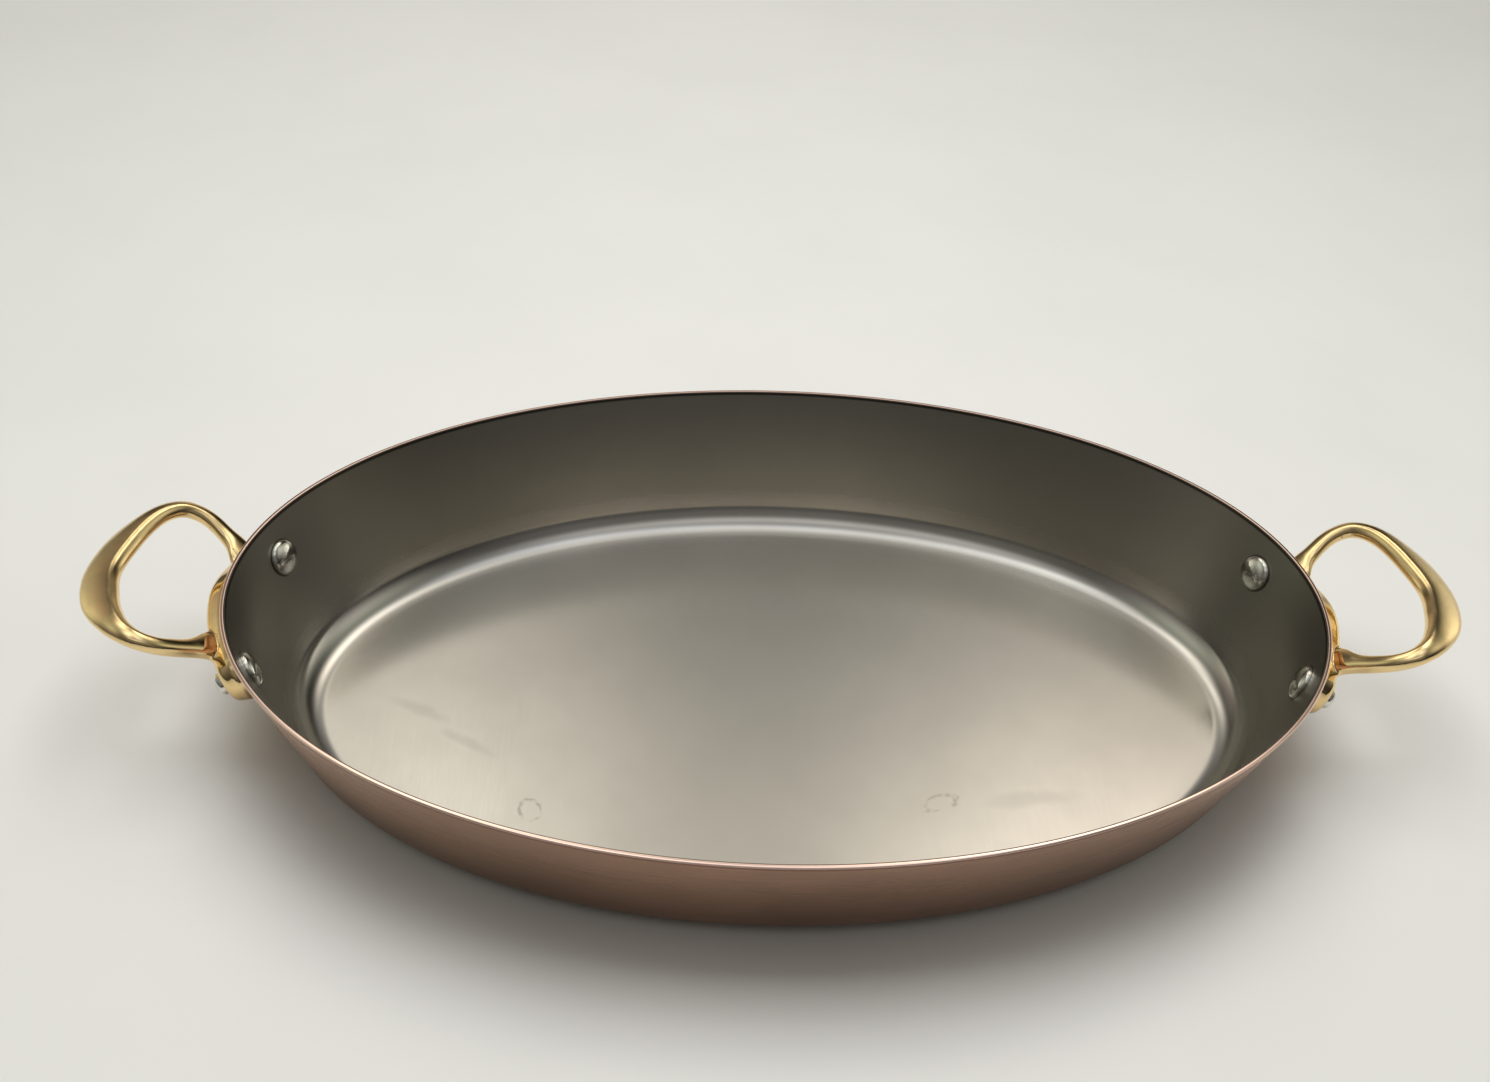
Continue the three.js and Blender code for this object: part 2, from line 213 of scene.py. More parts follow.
class Oval:
    """The leaning wall over the oval rim, and places on it."""

    def __init__(self, pan, fine_steps=4000):
        self.pan = pan
        self.a = pan.rim_length / 2
        self.b = pan.rim_width / 2
        self.shoulder = pan.height - pan.rim_round
        self.lean = math.atan2(pan.wall_lean, self.shoulder)
        self.wall = pan.copper + pan.bond + pan.lining
        self.fine = np.linspace(0, math.pi / 2, fine_steps + 1)
        middle = (self.fine[1:] + self.fine[:-1]) / 2
        speed = np.hypot(self.a * np.sin(middle), self.b * np.cos(middle))
        self.run = np.concatenate([[0], np.cumsum(speed * np.diff(self.fine))])

    def inset(self, z):
        """How far the wall's outer face lies inside the rim at a height."""
        return self.pan.wall_lean * (1 - z / self.shoulder)

    def angle(self, along):
        """The ellipse's angle at a distance along the rim from its +X end."""
        return np.sign(along) * np.interp(np.abs(along), self.run, self.fine)

    def flat_normal(self, angle):
        """The ellipse's normal at an angle."""
        x, y = np.cos(angle) / self.a, np.sin(angle) / self.b
        size = np.hypot(x, y)
        return x / size, y / size

    def point(self, angle, inset, z):
        """The point at an inset from the ellipse and a height."""
        angle, inset, z = np.broadcast_arrays(angle, inset, z)
        x, y = self.flat_normal(angle)
        return np.stack(
            [self.a * np.cos(angle) - x * inset, self.b * np.sin(angle) - y * inset, z], -1
        )

    def normal(self, angle):
        """The leaning wall's normal at an angle."""
        x, y = self.flat_normal(angle)
        cos = math.cos(self.lean)
        return np.stack([x * cos, y * cos, np.full_like(x, -math.sin(self.lean))], -1)

    def on_wall(self, along, z, outside):
        """A point at a distance along the rim, a height, and outside the wall's outer face."""
        along, z, outside = np.broadcast_arrays(along, z, outside)
        angle = self.angle(along)
        place = self.point(angle, self.inset(z), z)
        return place + self.normal(angle) * outside[..., None]

    def curvature(self, angle):
        """The ellipse's curvature at an angle."""
        sin, cos = self.a * math.sin(angle), self.b * math.cos(angle)
        return self.a * self.b / (sin * sin + cos * cos) ** 1.5

    def outside(self, points, rounds=6):
        """How far points near the +X end lie outside the wall's outer face, and its normals."""
        angle = np.arctan2(points[:, 1] / self.b, points[:, 0] / self.a)
        # Each round turns the ellipse's normal closer to the one through the point.
        for _ in range(rounds):
            x, y = self.flat_normal(angle)
            dx = points[:, 0] - self.a * np.cos(angle)
            dy = points[:, 1] - self.b * np.sin(angle)
            speed = np.hypot(self.a * np.sin(angle), self.b * np.cos(angle))
            angle = angle + (dx * -y + dy * x) / speed
        inset = -(dx * x + dy * y)
        away = (self.inset(points[:, 2]) - inset) * math.cos(self.lean)
        return away, self.normal(angle)

    def pushed_out(self, points, gap):
        """The points, with those nearer the wall than a gap moved out to it."""
        away, normals = self.outside(points)
        return points + normals * np.maximum(gap - away, 0)[:, None]


def add_mesh(name, vertices, faces, smooth_under=40):
    """A shaded mesh object in the scene, with edges sharper than an angle left crisp."""
    mesh = bpy.data.meshes.new(name)
    mesh.from_pydata(np.asarray(vertices, float).tolist(), [], [list(f) for f in faces])
    mesh.validate()
    mesh.update()
    piece = bpy.data.objects.new(name, mesh)
    bpy.context.scene.collection.objects.link(piece)
    shade(piece, smooth_under)
    return piece


def shade(piece, smooth_under):
    """Smooth shading, except over edges sharper than an angle in degrees."""
    mesh = piece.data
    mesh.shade_smooth()
    mesh.set_sharp_from_angle(angle=math.radians(smooth_under))


def ring_faces(rows, count, first=0):
    """Quads between a row of closed rings with as many points each."""
    faces = []
    for row in range(rows - 1):
        base = first + row * count
        for i in range(count):
            j = (i + 1) % count
            faces.append((base + i, base + j, base + count + j, base + count + i))
    return faces


def closed_skin(rings, start=None, end=None):
    """Vertices and faces over rings, closed by a centre point at each end."""
    count = len(rings[0])
    vertices = np.concatenate(rings)
    faces = ring_faces(len(rings), count)
    start = rings[0].mean(0) if start is None else start
    end = rings[-1].mean(0) if end is None else end
    low, high = len(vertices), len(vertices) + 1
    last = (len(rings) - 1) * count
    for i in range(count):
        j = (i + 1) % count
        faces.append((low, j, i))
        faces.append((high, last + i, last + j))
    return np.concatenate([vertices, [start], [end]]), faces


def apply_modifiers(piece):
    """Writes a piece's modifiers into its mesh."""
    graph = bpy.context.evaluated_depsgraph_get()
    mesh = bpy.data.meshes.new_from_object(piece.evaluated_get(graph), depsgraph=graph)
    old = piece.data
    piece.modifiers.clear()
    piece.data = mesh
    mesh.name = piece.name
    bpy.data.meshes.remove(old)


def cut_away(piece, tools):
    """Takes the tools out of a piece, and removes them."""
    for tool in tools:
        cut = piece.modifiers.new("cut", "BOOLEAN")
        cut.operation = "DIFFERENCE"
        cut.solver = "MANIFOLD"
        cut.object = tool
    apply_modifiers(piece)
    for tool in tools:
        bpy.data.objects.remove(tool)


def pan_face(oval, depth, top, corner_steps=22, wall_steps=14):
    """[inset, height] of the face at a depth under the outer face, from the floor up."""
    radius = oval.pan.corner_radius
    centre = oval.inset(radius) + radius / math.cos(oval.lean)
    turn = (math.pi / 2 - oval.lean) * np.linspace(0, 1, corner_steps + 1)
    inner = radius - depth
    arc = np.stack([centre - inner * np.sin(turn), radius - inner * np.cos(turn)], -1)
    heights = np.linspace(arc[-1, 1], top, wall_steps + 1)[1:]
    wall = np.stack([oval.inset(heights) + depth / math.cos(oval.lean), heights], -1)
    return np.concatenate([arc, wall])


def oval_shell(name, oval, profile, around=384, floor_steps=(0.3, 0.6, 0.85, 0.97)):
    """A closed shell from an [inset, height] profile that starts and ends on the floor."""
    angle = np.linspace(0, 2 * math.pi, around, endpoint=False)
    rings = [oval.point(angle, inset, z) for inset, z in profile]

    def towards_middle(ring):
        return [ring * [step, step, 1] for step in floor_steps]

    rings = towards_middle(rings[0]) + rings + towards_middle(rings[-1])[::-1]
    middles = [(0, 0, profile[0][1]), (0, 0, profile[-1][1])]
    return add_mesh(name, *closed_skin(rings, *middles), smooth_under=30)


def rivet_places(handle):
    """The (distance along the rim, side) of the four rivets, by name."""
    half = handle.rivet_spacing / 2
    return {
        "right_back_rivet": (half, 1),
        "right_front_rivet": (-half, 1),
        "left_front_rivet": (half, -1),
        "left_back_rivet": (-half, -1),
    }


def rivet_turned(oval, handle, along, profile, around=48):
    """Rings of [radius, outside] pairs round a rivet's axis, bent to the wall."""
    z = oval.pan.height - handle.rivet_drop
    turn = np.linspace(0, 2 * math.pi, around, endpoint=False)
    bend = oval.curvature(oval.angle(along))
    rings = []
    for radius, outside in profile:
        # The wall is shorter round than the rim, and steps along the rim shrink with it.
        narrowing = 1 - (oval.inset(z) - outside * math.cos(oval.lean)) * bend
        rings.append(
            oval.on_wall(
                along + radius * np.cos(turn) / narrowing,
                z + radius * np.sin(turn) * math.cos(oval.lean),
                outside,
            )
        )
    return rings


def rivet_holes(oval, handle, rivet):
    """A rod through the wall at each rivet."""
    radius = rivet.shank / 2 + rivet.hole
    reach = handle.plate + 2 * oval.wall
    rods = []
    for name, (along, side) in rivet_places(handle).items():
        rings = rivet_turned(oval, handle, along, [(radius, -reach), (radius, reach)])
        vertices, faces = closed_skin(rings)
        rods.append(add_mesh(name + "_hole", vertices * [side, side, 1], faces))
    return rods


def turned_round(name, piece):
    """A copy of a piece, half a turn round the pan."""
    copy = bpy.data.objects.new(name, piece.data.copy())
    copy.data.transform(Matrix.Rotation(math.pi, 4, "Z"))
    bpy.context.scene.collection.objects.link(copy)
    return copy


# The handle's shape


# Outlines of the plate from its back to its front: how far each is drawn in from the full
# outline towards the front face's, and its share of the thickness.
PLATE_TAPER = [(0, 0), (0, 0.35), (0.6, 0.88), (0.8, 0.97), (1.03, 1)]


def plate_skin(oval, handle, edge_steps=60, ear_steps=26):
    """The plate, which follows the wall from ear to ear."""
    ear = handle.rivet_spacing / 2
    points = []

    def spine(along):
        """Height of the plate's middle, its half width there, and its face's share of it."""
        part = float(smoothstep(0, ear, abs(along)))
        z = oval.pan.height - mixed(handle.plate_drop, handle.rivet_drop, part)
        half = mixed(handle.plate_half, handle.ear_radius, part)
        return z, half, mixed(handle.middle_face, handle.ear_face, part)

    def edge(side):
        for i in range(edge_steps + 1):
            along = side * mixed(ear, -ear, i / edge_steps)
            z, half, face = spine(along)
            points.append((along, z, along, z + side * half, face))

    def end(side):
        z, radius, face = spine(side * ear)
        for i in range(1, ear_steps):
            turn = math.pi * i / ear_steps
            out, up = side * radius * math.sin(turn), side * radius * math.cos(turn)
            points.append((side * ear, z, side * ear + out, z - up, face))

    edge(1)
    end(-1)
    edge(-1)
    end(1)
    spine_along, spine_z, along, z, face = np.array(points).T

    def ring(reach, part):
        """The outline at a share of its size and a share of the thickness."""
        return oval.on_wall(
            mixed(spine_along, along, reach), mixed(spine_z, z, reach),
            handle.seat + handle.plate * part,
        )

    sides = [ring(mixed(1, face, taper), part) for taper, part in PLATE_TAPER]
    return closed_skin([ring(0.02, 0), ring(0.5, 0), *sides, ring(0.4, 1), ring(0.02, 1)])


def catmull_rom(points, steps, closed=False, centripetal=False):
    """Points along a smooth curve through the given ones."""
    p = np.asarray(points, float)
    if closed:
        p = np.concatenate([p[-1:], p, p[:2]])
    else:
        p = np.concatenate([[2 * p[0] - p[1]], p, [2 * p[-1] - p[-2]]])
    t = np.linspace(0, 1, steps, endpoint=False)[:, None]
    out = []
    for a, b, c, d in zip(p, p[1:], p[2:], p[3:]):
        start, end = (c - a) / 2, (d - b) / 2
        if centripetal:
            ab, bc, cd = (math.sqrt(np.linalg.norm(v)) for v in (b - a, c - b, d - c))
            start = ((b - a) / ab - (c - a) / (ab + bc) + (c - b) / bc) * bc
            end = ((c - b) / bc - (d - b) / (bc + cd) + (d - c) / cd) * bc
        cubic = 2 * b - 2 * c + start + end
        square = -3 * b + 3 * c - 2 * start - end
        out.append(b + start * t + square * t**2 + cubic * t**3)
    if not closed:
        out.append(p[-2:-1])
    return np.concatenate(out)


# Corners of the bar's section: a leg's by their angles, and the grip's in half sizes.
ROUND_SECTION = np.radians([-12, 40, 104, 140, 180, 225, 265, 310])
GRIP_SECTION = np.array(
    [(1, -0.3), (0.36, 0.5), (-0.5, 0.96), (-0.8, 0.74), (-1, 0.05), (-0.72, -0.72),
     (-0.08, -1), (0.66, -0.8)]
)
# Shares of the way from a root to the tip where the grip begins and where it is full.
GRIP_FROM, GRIP_FULL = 0.34, 0.86
# Points along half the loop, as shares of its reach, half spread and dip, or rise.
LOOP_DIP = (0.21, 0.91, -1)
LOOP_SIDE = [(0.39, 1, 0.26), (0.56, 0.975, 0.84), (0.74, 0.8, 1), (0.915, 0.45, 0.77)]
LOOP_TIP = (1, 0, 0.58)


def loop_skin(oval, handle, spacing=0.0005, curve_steps=200, section_steps=7):
    """The bent bar: slim legs that turn into a broad grip with a ridge inside it."""
    end = np.array([oval.a, 0, oval.pan.height])
    size = np.array([handle.reach, handle.half_spread, handle.rise])
    low = end + np.array([handle.reach, handle.half_spread, handle.dip]) * LOOP_DIP
    root = oval.on_wall(
        handle.rivet_spacing / 2 - handle.root_inset,
        oval.pan.height - handle.root_drop, handle.root_depth,
    )
    half = [root, low] + [end + size * p for p in LOOP_SIDE]
    back = [p * [1, -1, 1] for p in half[::-1]]
    fine = catmull_rom(half + [end + size * LOOP_TIP] + back, curve_steps)
    run = np.concatenate([[0], np.cumsum(np.linalg.norm(np.diff(fine, axis=0), axis=1))])
    total = run[-1]
    places = np.linspace(0, total, int(total / spacing))
    centres = np.stack([np.interp(places, run, fine[:, k]) for k in range(3)], -1)
    tangents = np.gradient(centres, axis=0)
    tangents /= np.linalg.norm(tangents, axis=1)[:, None]
    rounded = np.stack([np.cos(ROUND_SECTION), np.sin(ROUND_SECTION)], -1)
    rings, flares = [], []
    for place, centre, tangent in zip(places, centres, tangents):
        from_root = 1 - abs(2 * place / total - 1)
        grip = float(smoothstep(GRIP_FROM, GRIP_FULL, from_root))
        corners = mixed(rounded, GRIP_SECTION, grip)
        section = catmull_rom(corners, section_steps, closed=True, centripetal=True)
        wide = mixed(handle.leg, handle.grip_width, grip) / 2
        high = mixed(handle.leg, handle.grip_height, grip) / 2
        above = np.array([0, 0, 1]) - tangent * tangent[2]
        above /= np.linalg.norm(above)
        outwards = -np.cross(tangent, above)
        x, y = section[:, :1], section[:, 1:]
        fillet = np.where(x < 0, handle.web, handle.heel)
        rings.append(centre + outwards * (x * wide) + above * (y * high))
        flares.append(outwards * (x * fillet) + above * (y * handle.web_height))
    # The fillets widen along the plate, so each point keeps its distance from the wall.
    bar = np.concatenate(rings)
    away, _ = oval.outside(bar)
    swell = np.exp(-np.maximum(0, away - handle.plate) / handle.web_reach)
    bar = bar + np.concatenate(flares) * swell[:, None]
    after, normals = oval.outside(bar)
    bar = bar - normals * (after - away)[:, None]
    return closed_skin(np.split(bar, len(rings)))


def move_points(mesh, points):
    """Puts a mesh's vertices at the given points."""
    mesh.vertices.foreach_set("co", points.ravel())
    mesh.update()


# How far a round of relaxing moves a vertex to its neighbours' middle, and how far every
# other round moves it away again where the volume has to stay.
PULL_IN, PUSH_OUT = 0.5, -0.53


def relaxed(mesh, weight, rounds, keep_volume):
    """Smooths a mesh, each vertex as far as its weight says, and returns its points."""
    count = len(mesh.vertices)
    points = np.empty(count * 3)
    mesh.vertices.foreach_get("co", points)
    points = points.reshape(-1, 3)
    edges = np.empty(len(mesh.edges) * 2, int)
    mesh.edges.foreach_get("vertices", edges)
    a, b = edges.reshape(-1, 2).T
    neighbours = np.bincount(a, minlength=count) + np.bincount(b, minlength=count)
    weight = weight(points)[:, None]
    for i in range(rounds):
        total = np.stack(
            [np.bincount(a, points[b, k], count) + np.bincount(b, points[a, k], count)
             for k in range(3)], -1
        )
        step = total / neighbours[:, None] - points
        strength = PUSH_OUT if keep_volume and i % 2 else PULL_IN
        points = points + step * weight * strength
    move_points(mesh, points)
    return points


# Distances outside the wall over which the softening of the roots fades in and out.
ROOTS_FROM, ROOTS_TO = (0.0045, 0.0065), (0.009, 0.013)


def cast_handle(oval, handle, voxel=0.00032, edge_rounds=16, root_rounds=50):
    """Plate and loop as one casting, with soft fillets."""
    plate, plate_faces = plate_skin(oval, handle)
    loop, loop_faces = loop_skin(oval, handle)
    loop = oval.pushed_out(loop, handle.seat)
    faces = plate_faces + [tuple(i + len(plate) for i in f) for f in loop_faces]
    piece = add_mesh("right_handle_cast", np.concatenate([plate, loop]), faces)
    remesh = piece.modifiers.new("cast", "REMESH")
    remesh.mode = "VOXEL"
    remesh.voxel_size = voxel
    remesh.use_smooth_shade = True
    apply_modifiers(piece)
    relaxed(piece.data, lambda points: np.ones(len(points)), edge_rounds, keep_volume=True)

    def at_roots(points):
        away, _ = oval.outside(points)
        return smoothstep(*ROOTS_FROM, away) * (1 - smoothstep(*ROOTS_TO, away))

    points = relaxed(piece.data, at_roots, root_rounds, keep_volume=False)
    move_points(piece.data, oval.pushed_out(points, handle.seat))
    return piece


# Shading expressions


class Signal:
    """A value in a shader tree. Arithmetic on it adds Math nodes."""

    def __init__(self, tree, socket):
        self.tree = tree
        self.socket = socket

    def math(self, operation, *values):
        """A Math node's result."""
        values = dict(enumerate(values))
        return self.tree.node("ShaderNodeMath", {"operation": operation}, values)

    def __add__(self, other):
        return self.math("ADD", self, other)

    def __sub__(self, other):
        return self.math("SUBTRACT", self, other)

    def __rsub__(self, other):
        return self.math("SUBTRACT", other, self)

    def __mul__(self, other):
        return self.math("MULTIPLY", self, other)

    def __truediv__(self, other):
        return self.math("DIVIDE", self, other)

    def __pow__(self, other):
        return self.math("POWER", self, other)

    def __abs__(self):
        return self.math("ABSOLUTE", self)

    __radd__ = __add__
    __rmul__ = __mul__

    def step(self, low, high):
        """0 below low, 1 above high, and smooth in between. Turned over if low is larger."""
        return self.tree.node(
            "ShaderNodeMapRange", {"interpolation_type": "SMOOTHSTEP"},
            {"Value": self, "From Min": low, "From Max": high},
        )

    def band(self, start, full, fading, end):
        """0 below start and above end, and 1 between full and fading."""
        return self.step(start, full) * (1 - self.step(fading, end))


class Tree:
    """The nodes of a material or of the sky."""

    def __init__(self, owner):
        owner.use_nodes = True
        self.nodes = owner.node_tree.nodes
        self.links = owner.node_tree.links
        self.nodes.clear()

    def node(self, kind, settings=None, values=None, output=0):
        """Adds a node, sets it up, fills or links its inputs, and returns an output."""
        made = self.nodes.new(kind)
        for name, value in (settings or {}).items():
            setattr(made, name, value)
        for name, value in (values or {}).items():
            socket = made.inputs[name]
            if isinstance(value, Signal):
                self.links.new(value.socket, socket)
            elif socket.type == "RGBA" and len(value) == 3:
                socket.default_value = (*value, 1)
            else:
                socket.default_value = value
        return Signal(self, made.outputs[output]) if made.outputs else None

    def place(self):
        """The point on the piece, in metres."""
        return self.node("ShaderNodeTexCoord", output="Object")

    def axes(self, vector):
        """The three parts of a vector."""
        made = self.node("ShaderNodeSeparateXYZ", values={"Vector": vector})
        return [Signal(self, socket) for socket in made.socket.node.outputs]

    def stretched(self, vector, x, y, z):
        """A vector with each part scaled."""
        return self.node(
            "ShaderNodeVectorMath", {"operation": "MULTIPLY"}, {0: vector, 1: (x, y, z)}
        )

    def scaled(self, tone, part):
        """A colour times a value."""
        return self.node(
            "ShaderNodeVectorMath", {"operation": "SCALE"}, {"Vector": tone, "Scale": part}
        )

    def added(self, a, b):
        """The sum of two colours."""
        return self.node("ShaderNodeVectorMath", {"operation": "ADD"}, {0: a, 1: b})

    def noise(self, vector, scale, detail, roughness=0.55):
        """Soft noise from 0 to 1."""
        return self.node("ShaderNodeTexNoise", values={
            "Vector": vector, "Scale": scale, "Detail": detail, "Roughness": roughness,
        })

    def cells(self, vector, scale, feature="F1"):
        """Distance to scattered points or to the edges between them, in cells."""
        return self.node(
            "ShaderNodeTexVoronoi", {"feature": feature}, {"Vector": vector, "Scale": scale}
        )

    def blend(self, part, a, b):
        """Colour a where part is 0 and b where it is 1."""
        # The sockets go by number, because those for numbers and colours share their names.
        return self.node("ShaderNodeMix", {"data_type": "RGBA"}, {0: part, 6: a, 7: b}, 2)

    def bump(self, height, distance, strength, normal=None):
        """A bumped normal. Height is in units of distance."""
        values = {"Height": height, "Distance": distance, "Strength": strength}
        if normal is not None:
            values["Normal"] = normal
        return self.node("ShaderNodeBump", values=values)

    def surface(self, base, rough, metal, normal):
        """A Principled surface as the material's output."""
        shader = self.node("ShaderNodeBsdfPrincipled", values={
            "Base Color": base, "Roughness": rough, "Metallic": metal, "Normal": normal,
        })
        self.node("ShaderNodeOutputMaterial", values={"Surface": shader})


def darker(tone, part):
    """A colour times a number."""
    return tuple(c * part for c in tone)


def new_finish(name):
    """A new material and its empty tree."""
    material = bpy.data.materials.new(name)
    return material, Tree(material)


def dress(piece, material):
    """Gives a piece its one material."""
    piece.data.materials.clear()
    piece.data.materials.append(material)


def copper_finish(oval, finishes):
    """Brushed copper: dull pink on the wall, polished at the rim, with painted shade lower down
    and under the rim's edge.
    """
    material, tree = new_finish("brushed_copper")
    place = tree.place()
    _, _, z = tree.axes(place)
    below_rim = oval.pan.height - z
    lines = tree.noise(tree.stretched(place, 18, 18, 2600), 1, 2, 0.6)
    broad = tree.noise(tree.stretched(place, 9, 9, 260), 1, 3)
    cloud = tree.noise(place, 32, 4)
    polished = 1 - below_rim.step(0.0003, 0.0012)
    # Painted shade: a dark red band just below the rim's edge, where the rounded edge turns
    # away from the light.
    rim_shade_line = below_rim.band(0.0007, 0.0012, 0.0016, 0.0021)
    # Painted shade: the wall darkens towards the table, as where it reflects the table's
    # shadow; it is a little rougher there too.
    low = (1 - z.step(0.0, 0.045)) * (0.7 + 0.3 * cloud)
    tone = tree.blend(cloud.step(0.35, 0.7), finishes.copper, darker(finishes.copper, 0.88))
    tone = tree.blend(low * 0.85, tone, finishes.low_wall_shade)
    tone = tree.blend(polished, tone, finishes.rim)
    tone = tree.blend(rim_shade_line * 0.75, tone, finishes.under_rim_shade)
    rough = finishes.copper_roughness + 0.10 * (lines - 0.5) + 0.12 * (broad - 0.5) + low * 0.08
    rough = rough * (1 - polished) + 0.11 * polished
    normal = tree.bump(lines, 0.00002, 0.5)
    normal = tree.bump(cloud, 0.0004, 0.25, normal)
    tree.surface(base=tone, rough=rough, metal=1.0, normal=normal)
    return material


# Water marks on the floor: [x, y, half length, half width, turn in degrees].
WATER_MARKS = [
    (-0.0779, -0.0509, 0.0032, 0.0042, 10),
    (0.0507, -0.0463, 0.0062, 0.0030, 24),
]
# Smears on the floor: the same, and they only dull it.
SMEARS = [
    (-0.1170, -0.0070, 0.0110, 0.0028, -28),
    (-0.1000, -0.0220, 0.0110, 0.0024, -33),
    (-0.1380, 0.0240, 0.0070, 0.0030, 48),
    (0.0800, -0.0440, 0.0150, 0.0035, 8),
]


def mark_reach(x, y, mark, wobble):
    """Distance from a mark's middle as a share of its size, with an uneven edge."""
    middle_x, middle_y, half_long, half_wide, turn = mark
    cos, sin = math.cos(math.radians(turn)), math.sin(math.radians(turn))
    along = ((x - middle_x) * cos + (y - middle_y) * sin) / half_long
    across = ((y - middle_y) * cos - (x - middle_x) * sin) / half_wide
    return (along * along + across * across) ** 0.5 + wobble


def lining_finish(oval, handle, rivet, finishes):
    """Satin steel with fine brushing, a few scratches and dried water marks, and painted shade
    on the wall, at the lip and round the rivets.
    """
    material, tree = new_finish("satin_steel")
    place = tree.place()
    x, y, z = tree.axes(place)
    grain = tree.noise(place, 2600, 2, 0.7)
    around = tree.noise(tree.stretched(place, 60, 60, 1500), 1, 2, 0.6)
    brushed = tree.noise(tree.stretched(place, 1400, 70, 70), 1, 2, 0.6)
    cloud = tree.noise(place, 26, 4)
    # Where on the lining: its flat floor, low in the bend, the wall, and the upper edge.
    on_floor = 1 - z.step(0.0018, 0.006)
    in_bend = z.band(0.0014, 0.003, 0.009, 0.013)
    on_wall = z.step(0.008, 0.016)
    # Painted shade: a dark band along the lining's top edge, under the copper's rim.
    lip = 1 - (oval.pan.height - z).step(0.0008, 0.0015)
    # The four inner rivet heads, seen as one through the pan's symmetry.
    rivet_x, rivet_y, rivet_z = oval.on_wall(
        handle.rivet_spacing / 2, oval.pan.height - handle.rivet_drop, -oval.wall
    ).tolist()
    square = (abs(x) - rivet_x) ** 2 + (abs(y) - rivet_y) ** 2 + (z - rivet_z) ** 2
    from_head = square ** 0.5 - rivet.inner_head / 2
    # Painted shade: a dark ring round each inner rivet head, where the head meets the lining.
    rivet_ring_shade = 1 - from_head.step(0.0001, 0.0009)
    wobble = (tree.noise(place, 190, 2) - 0.5) * 0.9
    edges = sum(
        mark_reach(x, y, mark, wobble).band(0.72, 0.95, 1.0, 1.25) for mark in WATER_MARKS
    )
    edges = edges * tree.noise(place, 330, 1).step(0.38, 0.6)
    dull = sum(1 - mark_reach(x, y, mark, wobble).step(0.3, 1.3) for mark in SMEARS)
    scratches = tree.cells(tree.stretched(place, 40, 900, 300), 1, "DISTANCE_TO_EDGE")
    scratched = (1 - scratches.step(0.0, 0.012)) * tree.noise(place, 70, 2).step(0.56, 0.66)
    marks = edges * on_floor * 0.3 + dull * on_floor * 0.10 + scratched * in_bend * 0.25
    tone = tree.blend(cloud.step(0.3, 0.75), finishes.lining, darker(finishes.lining, 0.93))
    # Painted shade and painted reflection: the wall is darkened and warmed against the floor,
    # though it is the same steel.
    tone = tree.blend(on_wall * 0.18, tone, (0, 0, 0))
    tone = tree.blend(on_wall * 0.10, tone, finishes.wall_reflection_tint)
    # Painted shade at the lip and round the rivets.
    tone = tree.blend(lip * 0.85 + rivet_ring_shade * 0.8, tone, finishes.seam)
    tone = tree.blend(marks, tone, darker(finishes.lining, 0.45))
    rough = finishes.lining_roughness + 0.05 * (grain - 0.5) + 0.05 * (cloud - 0.5)
    rough = rough + 0.06 * (brushed - 0.5) * on_floor + 0.05 * (around - 0.5) * (1 - on_floor)
    rough = rough + marks * 0.3 + 0.12 * on_wall
    normal = tree.bump(grain, 0.00001, 0.35)
    normal = tree.bump(brushed * on_floor + around * (1 - on_floor), 0.00001, 0.25, normal)
    tree.surface(base=tone, rough=rough, metal=1.0, normal=normal)
    return material


def bronze_finish(oval, finishes):
    """Cast bronze, polished on the legs and satin on the broad grip, with painted shade low on
    the plates.
    """
    material, tree = new_finish("cast_bronze")
    place = tree.place()
    x, _, z = tree.axes(place)
    past_rim = abs(x) - oval.a
    waves = tree.noise(place, 210, 2, 0.4)
    grain = tree.noise(place, 2200, 3, 0.7)
    brushed = tree.noise(tree.stretched(place, 300, 300, 3000), 1, 2, 0.6)
    cloud = tree.noise(place, 60, 3)
    satin = past_rim.step(0.018, 0.030)
    pits = tree.cells(place, 330)
    pitted = (1 - pits.step(0.05, 0.13)) * tree.noise(place, 240, 1).step(0.60, 0.66)
    plate = 1 - past_rim.step(0.004, 0.010)
    # Painted shade low on the plates, under the rim and the legs; the bronze is also rougher
    # there.
    dull_and_shaded_plate = plate * (1 - z.step(0.030, 0.042)) * 0.6
    tone = tree.blend(cloud.step(0.35, 0.75), finishes.bronze, darker(finishes.bronze, 0.9))
    tone = tree.blend(dull_and_shaded_plate, tone, finishes.dull_and_shaded_plate)
    tone = tree.blend(pitted * 0.8, tone, finishes.pit)
    rough = 0.07 + 0.13 * satin + 0.05 * (grain - 0.5) + 0.05 * (cloud - 0.5) + dull_and_shaded_plate * 0.15
    rough = rough + 0.03 * satin * (brushed - 0.5) + pitted * 0.3
    normal = tree.bump(waves, 0.00035, 0.22)
    normal = tree.bump(grain * (0.4 + 0.6 * satin) - pitted * 6, 0.00001, 0.6, normal)
    tree.surface(base=tone, rough=rough, metal=1.0, normal=normal)
    return material


def rivet_finish(finishes):
    """Polished steel heads with a little wear."""
    material, tree = new_finish("polished_rivet")
    place = tree.place()
    waves = tree.noise(place, 420, 2, 0.5)
    fine = tree.noise(place, 2600, 2, 0.7)
    tone = tree.blend(waves.step(0.35, 0.75), finishes.rivet, darker(finishes.rivet, 0.85))
    rough = 0.07 + 0.06 * (fine - 0.5) + 0.05 * waves
    normal = tree.bump(waves, 0.00025, 0.35)
    normal = tree.bump(fine, 0.00001, 0.4, normal)
    tree.surface(base=tone, rough=rough, metal=1.0, normal=normal)
    return material


